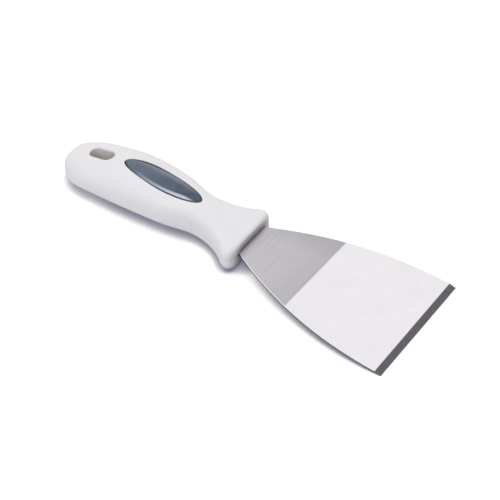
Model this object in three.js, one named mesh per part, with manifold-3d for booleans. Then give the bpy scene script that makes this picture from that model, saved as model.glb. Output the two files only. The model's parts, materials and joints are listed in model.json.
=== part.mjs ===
// Stripping knife: a flared, taper-ground steel blade whose tang is held between the two
// moulded shells of a hollow handle, with a domed oval badge on top and a hole to hang it by.
// Millimetres, +Z up, +X from the butt of the handle to the tip of the blade. The knife lies
// on the plane z = 0 as it does on a table: on the flat under its bolster and on its tip.

import * as THREE from 'three';
import { mergeVertices } from 'three/addons/utils/BufferGeometryUtils.js';
import Module from 'manifold-3d';

const wasm = await Module();
wasm.setup();

// General
const overrun = 5; // how far a cutter runs past what it cuts
const clearance = 0.3; // play between a piece and the one that holds it

// Blade, measured along its own flat from where it leaves the handle
const bladeReach = 105.3;
const bladeTipHalfWidth = 38.1;
const bladeNeckHalfWidth = 12.3;
const bladeThickness = 1.5;
const bladeHeelHeight = 8.8; // underside over the table where the blade leaves the handle
const groundStart = 40.7; // the brushed face ends and the polished taper begins
const groundThickness = 1.2; // what the taper leaves at the bevel
const bevelReach = 3.9;
const edgeThickness = 0.2;
const sideEase = 0.25; // chamfer along the long edges

// Tang
const neckDepth = 8; // how far the neck enters the handle at its full width
const tangReach = 62;
const tangHalfWidth = 6;
const tangCornerRadius = 3;

// Handle: its length and, at seven stations from the butt, place, half width, top and bottom
const handleLength = 122.3;
const buttPlace = 5;
const buttHalfWidth = 13.4;
const buttTop = 18.7;
const buttBottom = 2.6;
const heelPlace = 24;
const heelHalfWidth = 16.8;
const heelTop = 24.1;
const heelBottom = 3.8;
const palmPlace = 48;
const palmHalfWidth = 17.4;
const palmTop = 26.7;
const palmBottom = 3.6;
const shoulderPlace = 72;
const shoulderHalfWidth = 16;
const shoulderTop = 23.9;
const shoulderBottom = 4.3;
const waistPlace = 91;
const waistHalfWidth = 10.8;
const waistTop = 21.9;
const waistBottom = 3.2;
const flarePlace = 108;
const flareHalfWidth = 14.8;
const flareTop = 19;
const flareBottom = 1.1;
const mouthHalfWidth = 24.9; // before the lip's rounding draws it in
const mouthTop = 16.6;
const mouthBottom = -1.2; // below the table plane, where the bolster is cut flat
const buttRoundingLength = 17.5;
const buttRoundingHeight = 7.7;
const lipDepth = 7.7; // how far back from the front face its rounding begins, at the sides and below
const lipSideInset = 11.3;
const lipUnderInset = 4;
const lipCrownDepth = 2.6; // how far back the tighter rounding over the blade begins
const lipCrownInset = 1.5;
const shellWall = 2.5;
const buttWall = 5;
const frontWall = 12;
const partingHeight = 10;

// Ribs across the shells
const ribThickness = 1.8;
const firstRibPlace = 38;
const lastRibPlace = 51;
const ribCount = 2;

// Hang hole
const hangHolePlace = 23.9;
const hangHoleHalfLength = 7.6;
const hangHoleHalfWidth = 3.9;
const hangHoleWall = 2.2;

// Pins through the tang
const frontPinSetback = 22.3; // behind the front face of the handle
const rearPinSetback = 9.7; // ahead of the end of the tang
const pinRadius = 2;
const pinLength = 11;
const pinOverTang = 3; // how far a pin stands over the upper face of the tang
const bossWall = 2.2;

// Badge
const badgePlace = 64.9;
const badgeHalfLength = 24.8;
const badgeHalfWidth = 6.7;
const badgeSeatHeight = 21.9; // floor of the recess under the middle of the badge
const badgeTilt = THREE.MathUtils.degToRad(5.8); // down towards the blade, as the handle's top falls
const badgeSeatWall = 2.2;
const badgePadThickness = 0.4;
const badgePlateThickness = 0.6;
const badgeDomeEdge = 0.6;
const badgeDomeRise = 0.8;

// Powers and shares that shape the curves
const flarePower = 2.2; // how early the sides of the blade spread
const buttPlanPower = 2.2;
const crownSquarenessShares = [2.5, 2.1, 2.7, 3, 3.7, 3.9, 4.3]; // superellipse powers by station
const underSquarenessShares = [3.3, 2.8, 2.6, 2.8, 3.7, 3.3, 5.4];
const widestShares = [0.4, 0.47, 0.48, 0.49, 0.44, 0.46, 0.44]; // how high the widest line lies
const domeRiseShares = [0, 0.35, 0.65, 0.86, 0.97];

// Counts of steps in the faceted curves
const sectionSteps = 40;
const buttSteps = 8;
const bodySteps = 30;
const lipSteps = 6;
const bladeSteps = 24;
const roundSteps = 24;
const cornerSteps = 4;
const badgeSteps = 48;

// Materials
const brushedSteel = new THREE.MeshStandardMaterial({ color: 0xb9b5bd, roughness: 0.38, metalness: 1 });
const pinSteel = new THREE.MeshStandardMaterial({ color: 0x9c9ca0, roughness: 0.45, metalness: 1 });
const whiteShell = new THREE.MeshStandardMaterial({ color: 0xe6e5e7, roughness: 0.42, metalness: 0 });
const padFoam = new THREE.MeshStandardMaterial({ color: 0x8c8f93, roughness: 0.9, metalness: 0 });
const badgeBlue = new THREE.MeshStandardMaterial({ color: 0x4f6172, roughness: 0.35, metalness: 0.2 });
const clearResin = new THREE.MeshStandardMaterial({
  color: 0xdfe7ee,
  roughness: 0.05,
  metalness: 0,
  transparent: true,
  opacity: 0.35,
});

// Solids and outlines

// A closed geometry as a solid that can be cut and joined.
function toSolid(geometry) {
  const bare = geometry.clone();
  bare.deleteAttribute('normal');
  bare.deleteAttribute('uv');
  const merged = mergeVertices(bare);
  return new wasm.Manifold(new wasm.Mesh({
    numProp: 3,
    vertProperties: new Float32Array(merged.attributes.position.array),
    triVerts: new Uint32Array(merged.index.array),
  }));
}

// A mesh of a solid, with a material of its own.
function toMesh(name, solid, material) {
  const { vertProperties, triVerts } = solid.getMesh();
  const geometry = new THREE.BufferGeometry();
  geometry.setAttribute('position', new THREE.BufferAttribute(new Float32Array(vertProperties), 3));
  geometry.setIndex(new THREE.BufferAttribute(new Uint32Array(triVerts), 1));
  geometry.computeVertexNormals();
  const mesh = new THREE.Mesh(geometry, material.clone());
  mesh.name = name;
  return mesh;
}

// A closed body through rings of equal length, with a fan over the first and the last.
function loft(rings) {
  const size = rings[0].length;
  const points = rings.flat();
  const faces = [];
  for (let row = 0; row + 1 < rings.length; row += 1) {
    for (let step = 0; step < size; step += 1) {
      const here = row * size + step;
      const next = row * size + ((step + 1) % size);
      faces.push(here, next, next + size, here, next + size, here + size);
    }
  }
  for (const row of [0, rings.length - 1]) {
    const middle = new THREE.Vector3();
    rings[row].forEach((point) => middle.add(point));
    const hub = points.push(middle.divideScalar(size)) - 1;
    for (let step = 0; step < size; step += 1) {
      const here = row * size + step;
      const next = row * size + ((step + 1) % size);
      faces.push(...(row === 0 ? [next, here, hub] : [here, next, hub]));
    }
  }
  const geometry = new THREE.BufferGeometry().setFromPoints(points);
  geometry.setIndex(faces);
  return toSolid(geometry);
}

// An upright prism of a plan outline between two heights, in the frame of the piece it is for.
function prism(outline, bottom, top, frame = new THREE.Matrix4()) {
  const depth = top - bottom;
  const geometry = new THREE.ExtrudeGeometry(new THREE.Shape(outline), { depth, bevelEnabled: false });
  return toSolid(geometry.translate(0, 0, bottom).applyMatrix4(frame));
}

function rectangle(fromX, toX, halfWidth) {
  return [
    new THREE.Vector2(fromX, -halfWidth),
    new THREE.Vector2(toX, -halfWidth),
    new THREE.Vector2(toX, halfWidth),
    new THREE.Vector2(fromX, halfWidth),
  ];
}

// A slot outline with round ends about a place on the x axis; a circle where it has no length.
function obround(place, halfLength, halfWidth) {
  const points = [];
  for (const side of [1, -1]) {
    const centre = place + side * (halfLength - halfWidth);
    for (let step = 0; step <= roundSteps / 2; step += 1) {
      const angle = (step / roundSteps) * 2 * Math.PI - (side * Math.PI) / 2;
      const point = new THREE.Vector2(Math.cos(angle), Math.sin(angle)).multiplyScalar(halfWidth);
      points.push(point.add(new THREE.Vector2(centre, 0)));
    }
  }
  return points;
}

function circle(place, radius) {
  return obround(place, radius, radius).filter((point, step) => (step % (roundSteps / 2 + 1)) > 0);
}

// The upper points of an outline, then their mirror images across the x axis.
function mirrored(upper) {
  const lower = upper.map((point) => new THREE.Vector2(point.x, -point.y));
  return [...upper, ...lower.reverse()];
}

// Handle form

const stationPlaces = [
  buttPlace, heelPlace, palmPlace, shoulderPlace, waistPlace, flarePlace, handleLength,
];
const stationHalfWidths = [
  buttHalfWidth, heelHalfWidth, palmHalfWidth, shoulderHalfWidth, waistHalfWidth, flareHalfWidth,
  mouthHalfWidth,
];
const stationTops = [buttTop, heelTop, palmTop, shoulderTop, waistTop, flareTop, mouthTop];
const stationBottoms = [
  buttBottom, heelBottom, palmBottom, shoulderBottom, waistBottom, flareBottom, mouthBottom,
];

// A smooth curve through the stations, with each slope taken across the station's neighbours.
function alongHandle(values, x) {
  const last = stationPlaces.length - 1;
  const slope = (station) => {
    const before = Math.max(station - 1, 0);
    const after = Math.min(station + 1, last);
    return (values[after] - values[before]) / (stationPlaces[after] - stationPlaces[before]);
  };
  if (x < buttPlace) {
    return values[0] + slope(0) * (x - buttPlace);
  }
  const next = Math.max(stationPlaces.findIndex((place) => place >= x), 1);
  const gap = stationPlaces[next] - stationPlaces[next - 1];
  const share = (x - stationPlaces[next - 1]) / gap;
  const rise = (values[next] - values[next - 1]) * share ** 2 * (3 - 2 * share);
  const leaving = slope(next - 1) * gap * share * (1 - share) ** 2;
  const arriving = slope(next) * gap * share ** 2 * (share - 1);
  return values[next - 1] + rise + leaving + arriving;
}

// The section at x: half width, heights over and under its widest line, where that lies, and
// how square it is over and under that line.
function section(x) {
  const top = alongHandle(stationTops, x);
  const bottom = alongHandle(stationBottoms, x);
  const middle = bottom + (top - bottom) * alongHandle(widestShares, x);
  const fromPlan = Math.max(1 - x / buttRoundingLength, 0);
  const fromSide = Math.max(1 - x / buttRoundingHeight, 0);
  const planRounding = (1 - fromPlan ** buttPlanPower) ** (1 / buttPlanPower);
  const sideRounding = Math.sqrt(1 - fromSide ** 2);
  const lipRounding = (depth) => {
    const intoLip = Math.max((x - handleLength) / depth + 1, 0);
    return 1 - Math.sqrt(Math.max(1 - intoLip ** 2, 0));
  };
  return {
    halfWidth: alongHandle(stationHalfWidths, x) * planRounding - lipSideInset * lipRounding(lipDepth),
    above: (top - middle) * sideRounding - lipCrownInset * lipRounding(lipCrownDepth),
    below: (middle - bottom) * sideRounding - lipUnderInset * lipRounding(lipDepth),
    middle,
    crownPower: alongHandle(crownSquarenessShares, x),
    underPower: alongHandle(underSquarenessShares, x),
  };
}

// One ring of the handle's skin at x, drawn in all round by an inset.
function sectionRing(x, inset) {
  const { halfWidth, above, below, middle, crownPower, underPower } = section(x);
  const ring = [];
  for (let step = 0; step < sectionSteps; step += 1) {
    const angle = (step / sectionSteps) * 2 * Math.PI;
    const power = Math.sin(angle) > 0 ? crownPower : underPower;
    const across = Math.sign(Math.cos(angle)) * Math.abs(Math.cos(angle)) ** (2 / power);
    const up = Math.sign(Math.sin(angle)) * Math.abs(Math.sin(angle)) ** (2 / power);
    const reach = (up > 0 ? above : below) - inset;
    ring.push(new THREE.Vector3(x, (halfWidth - inset) * across, middle + reach * up));
  }
  return ring;
}

// Places of the rings: close together round the butt and the lip, even between them.
function ringPlaces() {
  const places = [];
  for (let step = 1; step <= buttSteps; step += 1) {
    places.push(buttRoundingLength * (1 - Math.cos((step / buttSteps) * (Math.PI / 2))));
  }
  const lipStart = handleLength - lipDepth;
  for (let step = 1; step <= bodySteps; step += 1) {
    places.push(THREE.MathUtils.lerp(buttRoundingLength, lipStart, step / bodySteps));
  }
  for (let step = 1; step <= lipSteps; step += 1) {
    places.push(lipStart + lipDepth * Math.sin((step / lipSteps) * (Math.PI / 2)));
  }
  return places;
}

const cutHalfWidth = mouthHalfWidth + overrun;
const cutTop = palmTop + overrun;
const cutBottom = mouthBottom - overrun;
const wholeHandle = rectangle(-overrun, handleLength + overrun, cutHalfWidth);

// The outer form, cut flat where the bolster rests on the table.
function handleForm() {
  const form = loft(ringPlaces().map((x) => sectionRing(x, 0)));
  return form.subtract(prism(wholeHandle, cutBottom, 0));
}

// The hollow inside the skin.
function cavity() {
  const end = handleLength - frontWall;
  const between = ringPlaces().filter((x) => x > buttWall && x < end);
  return loft([buttWall, ...between, end].map((x) => sectionRing(x, shellWall)));
}

// Blade form

const bladePitch = Math.asin(bladeHeelHeight / bladeReach); // lets the tip down on the table
const bladeFrame = new THREE.Matrix4()
  .makeRotationY(bladePitch)
  .setPosition(handleLength, 0, bladeHeelHeight);

// Height of the tang's underside over the table at a place on the handle's axis.
function tangHeight(x) {
  return bladeHeelHeight + (handleLength - x) * Math.tan(bladePitch);
}

// Plan outline of the blank, from the rounded end of the tang to just past the tip.
function blankOutline() {
  const upper = [];
  for (let step = 0; step <= cornerSteps; step += 1) {
    const angle = Math.PI - (step / cornerSteps) * (Math.PI / 2);
    upper.push(new THREE.Vector2(
      tangCornerRadius - tangReach + tangCornerRadius * Math.cos(angle),
      tangHalfWidth - tangCornerRadius + tangCornerRadius * Math.sin(angle),
    ));
  }
  upper.push(new THREE.Vector2(-neckDepth, tangHalfWidth));
  upper.push(new THREE.Vector2(-neckDepth, bladeNeckHalfWidth));
  for (let step = 0; step <= bladeSteps; step += 1) {
    const share = step / bladeSteps;
    const spread = 1 - (1 - share) ** flarePower;
    const halfWidth = THREE.MathUtils.lerp(bladeNeckHalfWidth, bladeTipHalfWidth, spread);
    upper.push(new THREE.Vector2(bladeReach * share, halfWidth));
  }
  upper.push(new THREE.Vector2(bladeReach + overrun, bladeTipHalfWidth));
  return mirrored(upper);
}

// Side outline of what the grinding takes away: the long taper, the bevel and all past the tip.
function grindingOutline() {
  return [
    new THREE.Vector2(groundStart, bladeThickness),
    new THREE.Vector2(bladeReach - bevelReach, groundThickness),
    new THREE.Vector2(bladeReach, edgeThickness),
    new THREE.Vector2(bladeReach, -overrun),
    new THREE.Vector2(bladeReach + 2 * overrun, -overrun),
    new THREE.Vector2(bladeReach + 2 * overrun, bladeThickness + overrun),
    new THREE.Vector2(groundStart, bladeThickness + overrun),
  ];
}

function makeBlade() {
  const blank = new THREE.ExtrudeGeometry(new THREE.Shape(blankOutline()), {
    depth: bladeThickness - 2 * sideEase,
    bevelThickness: sideEase,
    bevelSize: sideEase,
    bevelOffset: -sideEase,
    bevelSegments: 1,
  });
  blank.translate(0, 0, sideEase).applyMatrix4(bladeFrame);
  const across = 2 * (bladeTipHalfWidth + overrun);
  const grinding = new THREE.ExtrudeGeometry(new THREE.Shape(grindingOutline()), {
    depth: across,
    bevelEnabled: false,
  });
  grinding.rotateX(Math.PI / 2).translate(0, across / 2, 0).applyMatrix4(bladeFrame);
  let blade = toSolid(blank).subtract(toSolid(grinding));
  for (const place of [frontPinPlace, rearPinPlace]) {
    blade = blade.subtract(pinBore(place));
  }
  return toMesh('blade', blade, brushedSteel);
}

// The room that the neck and tang need inside the shells.
function tangSlot() {
  const neck = rectangle(-neckDepth - clearance, overrun, bladeNeckHalfWidth + clearance);
  const tang = rectangle(-tangReach - clearance, 0, tangHalfWidth + clearance);
  const top = bladeThickness + clearance;
  return prism(neck, -clearance, top, bladeFrame).add(prism(tang, -clearance, top, bladeFrame));
}

// Tang pins

const frontPinPlace = handleLength - frontPinSetback;
const rearPinPlace = handleLength - tangReach + rearPinSetback;

function pinTop(place) {
  return tangHeight(place) + bladeThickness + pinOverTang;
}

function pinBore(place) {
  const bottom = pinTop(place) - pinLength;
  return prism(circle(place, pinRadius + clearance), bottom, pinTop(place) + clearance);
}

function makePin(name, place) {
  const pin = prism(circle(place, pinRadius), pinTop(place) - pinLength, pinTop(place));
  return toMesh(name, pin, pinSteel);
}

// The column round a pin under the tang, and the one over it.
function lowerBoss(place) {
  const radius = pinRadius + clearance + bossWall;
  return prism(circle(place, radius), cutBottom, tangHeight(place + radius) - clearance);
}

function upperBoss(place) {
  const radius = pinRadius + clearance + bossWall;
  const bottom = tangHeight(place - radius) + bladeThickness / Math.cos(bladePitch) + clearance;
  return prism(circle(place, radius), bottom, cutTop);
}

// Badge: a foam pad and a printed plate under a clear dome, all in one recess

const badgeFrame = new THREE.Matrix4()
  .makeRotationY(badgeTilt)
  .setPosition(badgePlace, 0, badgeSeatHeight);
const badgePlateHeight = clearance + badgePadThickness + clearance;
const badgeDomeHeight = badgePlateHeight + badgePlateThickness + clearance;

// Plan outline of the badge about its middle, drawn larger all round by an amount.
function badgeOutline(extra) {
  const points = [];
  for (let step = 0; step < badgeSteps; step += 1) {
    const angle = (step / badgeSteps) * 2 * Math.PI;
    points.push(new THREE.Vector2(
      (badgeHalfLength + extra) * Math.cos(angle),
      (badgeHalfWidth + extra) * Math.sin(angle),
    ));
  }
  return points;
}

function makeBadgePad() {
  const pad = prism(badgeOutline(0), clearance, clearance + badgePadThickness, badgeFrame);
  return toMesh('badge_pad', pad, padFoam);
}

function makeBadgePlate() {
  const top = badgePlateHeight + badgePlateThickness;
  return toMesh('badge_plate', prism(badgeOutline(0), badgePlateHeight, top, badgeFrame), badgeBlue);
}

function makeBadgeDome() {
  const ring = (share, height) => badgeOutline(0).map((point) => (
    new THREE.Vector3(point.x * share, point.y * share, height).applyMatrix4(badgeFrame)
  ));
  const edge = badgeDomeHeight + badgeDomeEdge;
  const rings = [ring(1, badgeDomeHeight)];
  for (const riseShare of domeRiseShares) {
    rings.push(ring(Math.sqrt(1 - riseShare), edge + badgeDomeRise * riseShare));
  }
  return toMesh('badge_dome', loft(rings), clearResin);
}

// Handle shells

// What stands inside the shells besides their skin: ribs, the tube round the hang hole, and
// the bed under the badge.
function innerForms() {
  const tube = obround(hangHolePlace, hangHoleHalfLength + hangHoleWall, hangHoleHalfWidth + hangHoleWall);
  const forms = [
    prism(tube, cutBottom, cutTop),
    prism(badgeOutline(badgeSeatWall), -badgeSeatWall, cutTop, badgeFrame),
  ];
  for (let rib = 0; rib < ribCount; rib += 1) {
    const place = THREE.MathUtils.lerp(firstRibPlace, lastRibPlace, rib / (ribCount - 1));
    const outline = rectangle(place - ribThickness / 2, place + ribThickness / 2, cutHalfWidth);
    forms.push(prism(outline, cutBottom, cutTop));
  }
  return forms;
}

// What is open in both shells: the tang's slot, the pin bores, the hang hole and the recess.
function openings() {
  const hole = obround(hangHolePlace, hangHoleHalfLength, hangHoleHalfWidth);
  return [
    tangSlot(),
    pinBore(frontPinPlace),
    pinBore(rearPinPlace),
    prism(hole, cutBottom, cutTop),
    prism(badgeOutline(clearance), 0, cutTop, badgeFrame),
  ];
}

// A shell: the skin and inner forms on its side of the parting plane, with its bosses.
function makeShell(name, form, side, boss) {
  const inside = cavity();
  const hollow = innerForms().reduce((left, inner) => left.subtract(inner), inside);
  let shell = form.subtract(hollow).intersect(side);
  for (const place of [frontPinPlace, rearPinPlace]) {
    shell = shell.add(boss(place).intersect(form));
  }
  const finished = openings().reduce((left, opening) => left.subtract(opening), shell);
  return toMesh(name, finished, whiteShell);
}

function makeShells() {
  const form = handleForm();
  const underParting = prism(wholeHandle, cutBottom, partingHeight);
  const overParting = prism(wholeHandle, partingHeight, cutTop);
  return [
    makeShell('handle_lower_shell', form, underParting, lowerBoss),
    makeShell('handle_upper_shell', form, overParting, upperBoss),
  ];
}

// The whole knife, with its origin at the bottom centre of its box

const knife = new THREE.Group();
knife.name = 'stripping_knife';
knife.add(
  makeBlade(),
  ...makeShells(),
  makePin('tang_pin_front', frontPinPlace),
  makePin('tang_pin_rear', rearPinPlace),
  makeBadgePad(),
  makeBadgePlate(),
  makeBadgeDome(),
);
const box = new THREE.Box3().setFromObject(knife);
knife.position.x = -(box.min.x + box.max.x) / 2;

export default knife;
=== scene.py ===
import json
import math

import bmesh
import bpy
import numpy as np
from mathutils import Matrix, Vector
from mathutils.geometry import delaunay_2d_cdt

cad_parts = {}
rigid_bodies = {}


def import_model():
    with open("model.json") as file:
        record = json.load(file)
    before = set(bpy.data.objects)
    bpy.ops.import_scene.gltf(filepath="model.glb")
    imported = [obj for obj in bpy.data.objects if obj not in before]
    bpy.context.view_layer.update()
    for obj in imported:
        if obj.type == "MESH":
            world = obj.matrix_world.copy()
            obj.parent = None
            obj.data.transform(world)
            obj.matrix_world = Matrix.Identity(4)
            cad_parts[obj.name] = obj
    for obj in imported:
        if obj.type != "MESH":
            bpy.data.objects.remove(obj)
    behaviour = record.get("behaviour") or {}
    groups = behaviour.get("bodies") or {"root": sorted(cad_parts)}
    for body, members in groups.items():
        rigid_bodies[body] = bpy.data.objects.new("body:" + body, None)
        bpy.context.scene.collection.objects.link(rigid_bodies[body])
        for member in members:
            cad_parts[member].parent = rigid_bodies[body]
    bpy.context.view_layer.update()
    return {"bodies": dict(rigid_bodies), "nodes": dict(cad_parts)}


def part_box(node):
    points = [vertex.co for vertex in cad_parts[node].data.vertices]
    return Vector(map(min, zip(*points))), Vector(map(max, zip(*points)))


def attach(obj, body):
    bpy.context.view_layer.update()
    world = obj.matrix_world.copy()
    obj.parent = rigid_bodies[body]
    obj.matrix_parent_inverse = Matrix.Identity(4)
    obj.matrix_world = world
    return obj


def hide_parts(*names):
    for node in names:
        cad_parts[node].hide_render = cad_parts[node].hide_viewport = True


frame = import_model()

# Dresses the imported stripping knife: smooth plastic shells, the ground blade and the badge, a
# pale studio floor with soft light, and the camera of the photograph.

MM = 0.001

# Handle, in millimetres from its butt, as in the part's source
HANDLE_LENGTH = 122.3
STATIONS = (5, 24, 48, 72, 91, 108, HANDLE_LENGTH)
HALF_WIDTHS = (13.4, 16.8, 17.4, 16, 10.8, 14.8, 24.9)
TOPS = (18.7, 24.1, 26.7, 23.9, 21.9, 19, 16.6)
BOTTOMS = (2.6, 3.8, 3.6, 4.3, 3.2, 1.1, -1.2)
CROWN_SQUARENESS = (2.5, 2.1, 2.7, 3, 3.7, 3.9, 4.3)
UNDER_SQUARENESS = (3.3, 2.8, 2.6, 2.8, 3.7, 3.3, 5.4)
WIDEST_SHARES = (0.4, 0.47, 0.48, 0.49, 0.44, 0.46, 0.44)
BUTT_ROUNDING_LENGTH = 17.5
BUTT_ROUNDING_HEIGHT = 7.7
BUTT_PLAN_POWER = 2.2
LIP_DEPTH = 7.7
LIP_SIDE_INSET = 11.3
LIP_UNDER_INSET = 4
LIP_CROWN_DEPTH = 2.6
LIP_CROWN_INSET = 1.5
PARTING_HEIGHT = 10
SEAM_HALF_WIDTH = 0.16
SEAM_DEPTH = 0.1

# Hang hole and badge
HOLE_PLACE = 23.9
HOLE_HALF_LENGTH = 7.6
HOLE_HALF_WIDTH = 3.9
HOLE_ROUNDING = 1
HOLE_MARGIN = 3
BADGE_PLACE = 64.9
BADGE_HALF_LENGTH = 24.8
BADGE_HALF_WIDTH = 6.7
BADGE_SEAT_HEIGHT = 21.9
BADGE_TILT = math.radians(5.8)
BADGE_PLATE_HEIGHT = 1
BADGE_PLATE_THICKNESS = 0.6
BADGE_DOME_HEIGHT = 1.9
BADGE_DOME_EDGE = 0.45
BADGE_DOME_RISE = 0.77
RECESS_CLEARANCE = 0.3
RECESS_ROUNDING = 0.4
RECESS_MARGIN = 1.6

# Blade, along its own flat from the front of the handle
BLADE_REACH = 105.3
BLADE_TIP_HALF_WIDTH = 38.1
BLADE_NECK_HALF_WIDTH = 12.3
BLADE_THICKNESS = 1.5
BLADE_HEEL_HEIGHT = 8.8
FLARE_POWER = 2.2
GROUND_START = 40.7
GROUND_THICKNESS = 1.2
BEVEL_REACH = 3.9
EDGE_THICKNESS = 0.2
SIDE_EASE = 0.25
MOST_EASE_SHARE = 1 / 3  # of the thickness, where the blade is thin
WORN_WIDTH = 0.48  # the near edge's chamfer is flatter than the others, and its bright steel is a painted highlight
WORN_DEPTH = 0.1
NECK_DEPTH = 8
TANG_REACH = 62
TANG_HALF_WIDTH = 6
TANG_ROUNDING = 3
POLISH_SKEW = 0.028  # the polished zone starts a little aslant

# Camera, fitted to the outline of the knife in the photograph
IMAGE_WIDTH_PIXELS = 500
FOCAL_LENGTH_PIXELS = 2500
PIXELS_PER_MM = 1.853
CAMERA_TURN = math.radians(33.977)
CAMERA_ELEVATION = math.radians(44.5)
CAMERA_ROLL = math.radians(-0.378)
AIM_ALONG = 120.43
AIM_ACROSS = 1.66
SENSOR_WIDTH = 36

# Counts of steps in the curves
TURN_STEPS = 96
BUTT_STEPS = 16
BODY_STEPS = 78
LIP_STEPS = 14
HOLE_STEPS = 72
BADGE_STEPS = 160
DOME_STEPS = 12
BLADE_STEPS = 72
TANG_STEPS = 8

BUTT_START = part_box("handle_upper_shell")[0].x / MM
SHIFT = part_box("handle_upper_shell")[1].x / MM - HANDLE_LENGTH
BUTT_FLAT = BUTT_START - SHIFT
PITCH = math.asin(BLADE_HEEL_HEIGHT / BLADE_REACH)


# Handle form

def along_handle(values, x):
    """A smooth curve through the stations, as in the part's source."""
    last = len(STATIONS) - 1

    def slope(station):
        before = max(station - 1, 0)
        after = min(station + 1, last)
        return (values[after] - values[before]) / (STATIONS[after] - STATIONS[before])

    if x < STATIONS[0]:
        return values[0] + slope(0) * (x - STATIONS[0])
    following = max(next((i for i, place in enumerate(STATIONS) if place >= x), last), 1)
    gap = STATIONS[following] - STATIONS[following - 1]
    share = (x - STATIONS[following - 1]) / gap
    rise = (values[following] - values[following - 1]) * share ** 2 * (3 - 2 * share)
    leaving = slope(following - 1) * gap * share * (1 - share) ** 2
    arriving = slope(following) * gap * share ** 2 * (share - 1)
    return values[following - 1] + rise + leaving + arriving


def lip_rounding(x, depth):
    """How much of the lip's inset is reached at x, for a rounding that begins so far back."""
    into_lip = max((x - HANDLE_LENGTH) / depth + 1, 0)
    return 1 - math.sqrt(max(1 - into_lip ** 2, 0))


def section(x):
    """At x: half width, heights over and under the widest line, its height, and both powers."""
    top = along_handle(TOPS, x)
    bottom = along_handle(BOTTOMS, x)
    middle = bottom + (top - bottom) * along_handle(WIDEST_SHARES, x)
    from_plan = max(1 - x / BUTT_ROUNDING_LENGTH, 0)
    from_side = max(1 - x / BUTT_ROUNDING_HEIGHT, 0)
    plan_rounding = (1 - from_plan ** BUTT_PLAN_POWER) ** (1 / BUTT_PLAN_POWER)
    side_rounding = math.sqrt(1 - from_side ** 2)
    half_width = along_handle(HALF_WIDTHS, x) * plan_rounding
    half_width -= LIP_SIDE_INSET * lip_rounding(x, LIP_DEPTH)
    above = (top - middle) * side_rounding - LIP_CROWN_INSET * lip_rounding(x, LIP_CROWN_DEPTH)
    below = (middle - bottom) * side_rounding - LIP_UNDER_INSET * lip_rounding(x, LIP_DEPTH)
    crown_power = along_handle(CROWN_SQUARENESS, x)
    return half_width, above, below, middle, crown_power, along_handle(UNDER_SQUARENESS, x)


def skin(x, turn):
    """The point of the skin at x, seen from the section's middle at an angle."""
    half_width, above, below, middle, crown_power, under_power = section(x)
    across = math.cos(turn)
    up = math.sin(turn)
    power = crown_power if up > 0 else under_power
    reach = (abs(across) ** power + abs(up) ** power) ** (-1 / power)
    height = above if up > 0 else below
    return Vector((x, half_width * across * reach, max(middle + height * up * reach, 0)))


def turn_at(x, y, upper):
    """The angle at which the skin passes over or under a plan point."""
    half_width, above, below, middle, crown_power, under_power = section(x)
    power = crown_power if upper else under_power
    across = y / half_width
    up = (1 - abs(across) ** power) ** (1 / power)
    return math.atan2(up if upper else -up, across)


def row_point(point):
    """A point of the handle in the row frame, in metres."""
    share = max(1 - point.x / BUTT_ROUNDING_LENGTH, 0)
    return Vector((point.x + SHIFT + BUTT_FLAT * share, point.y, point.z)) * MM


def ring_places():
    """Places of the skin's rings: close together round the butt and the lip."""
    quarter = math.pi / 2
    lip_start = HANDLE_LENGTH - LIP_DEPTH
    places = []
    for step in range(1, BUTT_STEPS + 1):
        places.append(BUTT_ROUNDING_LENGTH * (1 - math.cos(step / BUTT_STEPS * quarter)))
    for step in range(1, BODY_STEPS + 1):
        places.append(BUTT_ROUNDING_LENGTH + (lip_start - BUTT_ROUNDING_LENGTH) * step / BODY_STEPS)
    for step in range(1, LIP_STEPS + 1):
        places.append(lip_start + LIP_DEPTH * math.sin(step / LIP_STEPS * quarter))
    return places


def hole_outline(extra):
    """Plan points of the hang hole, drawn larger all round by an amount."""
    straight = HOLE_HALF_LENGTH - HOLE_HALF_WIDTH
    radius = HOLE_HALF_WIDTH + extra
    half = HOLE_STEPS // 2
    points = []
    for side in (1, -1):
        for step in range(half):
            angle = math.pi * step / (half - 1) - side * math.pi / 2
            along = HOLE_PLACE + side * straight + radius * math.cos(angle)
            points.append((along, radius * math.sin(angle)))
    return points


def badge_outline(extra):
    """Plan points of the badge about its middle, drawn larger all round by an amount."""
    points = []
    for step in range(BADGE_STEPS):
        angle = 2 * math.pi * step / BADGE_STEPS
        along = (BADGE_HALF_LENGTH + extra) * math.cos(angle)
        points.append((along, (BADGE_HALF_WIDTH + extra) * math.sin(angle)))
    return points


def recess_outline(extra):
    """Plan points of the recess that holds the badge, drawn larger all round by an amount."""
    return [(BADGE_PLACE + x, y) for x, y in badge_outline(RECESS_CLEARANCE + extra)]


def badge_point(x, y, z):
    """A point of the badge, given in its own tilted frame, in the row frame."""
    along = BADGE_PLACE + x * math.cos(BADGE_TILT) + z * math.sin(BADGE_TILT)
    height = BADGE_SEAT_HEIGHT + z * math.cos(BADGE_TILT) - x * math.sin(BADGE_TILT)
    return Vector((along + SHIFT, y, height)) * MM


def inside(point, outline):
    """Whether a plan point lies inside a closed outline."""
    x, y = point
    within = False
    for (ax, ay), (bx, by) in zip(outline, outline[1:] + outline[:1]):
        if (ay > y) != (by > y) and x < ax + (y - ay) * (bx - ax) / (by - ay):
            within = not within
    return within


# What the triangulation fills, and how near two of its points may lie
WHOLE_HULL = 0
INSIDE_EDGES = 1
MERGE_DISTANCE = 1e-5


def triangulate(points, edges, extent):
    """Triangles that keep the given edges, each as three places in the list of points."""
    faces, origins = delaunay_2d_cdt(points, edges, [], extent, MERGE_DISTANCE)[2:4]
    return [[origins[corner][0] for corner in face] for face in faces]


ROUNDING_SHARES = (1, 0.75, 0.5, 0.3, 0.15, 0.05, 0)


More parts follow.
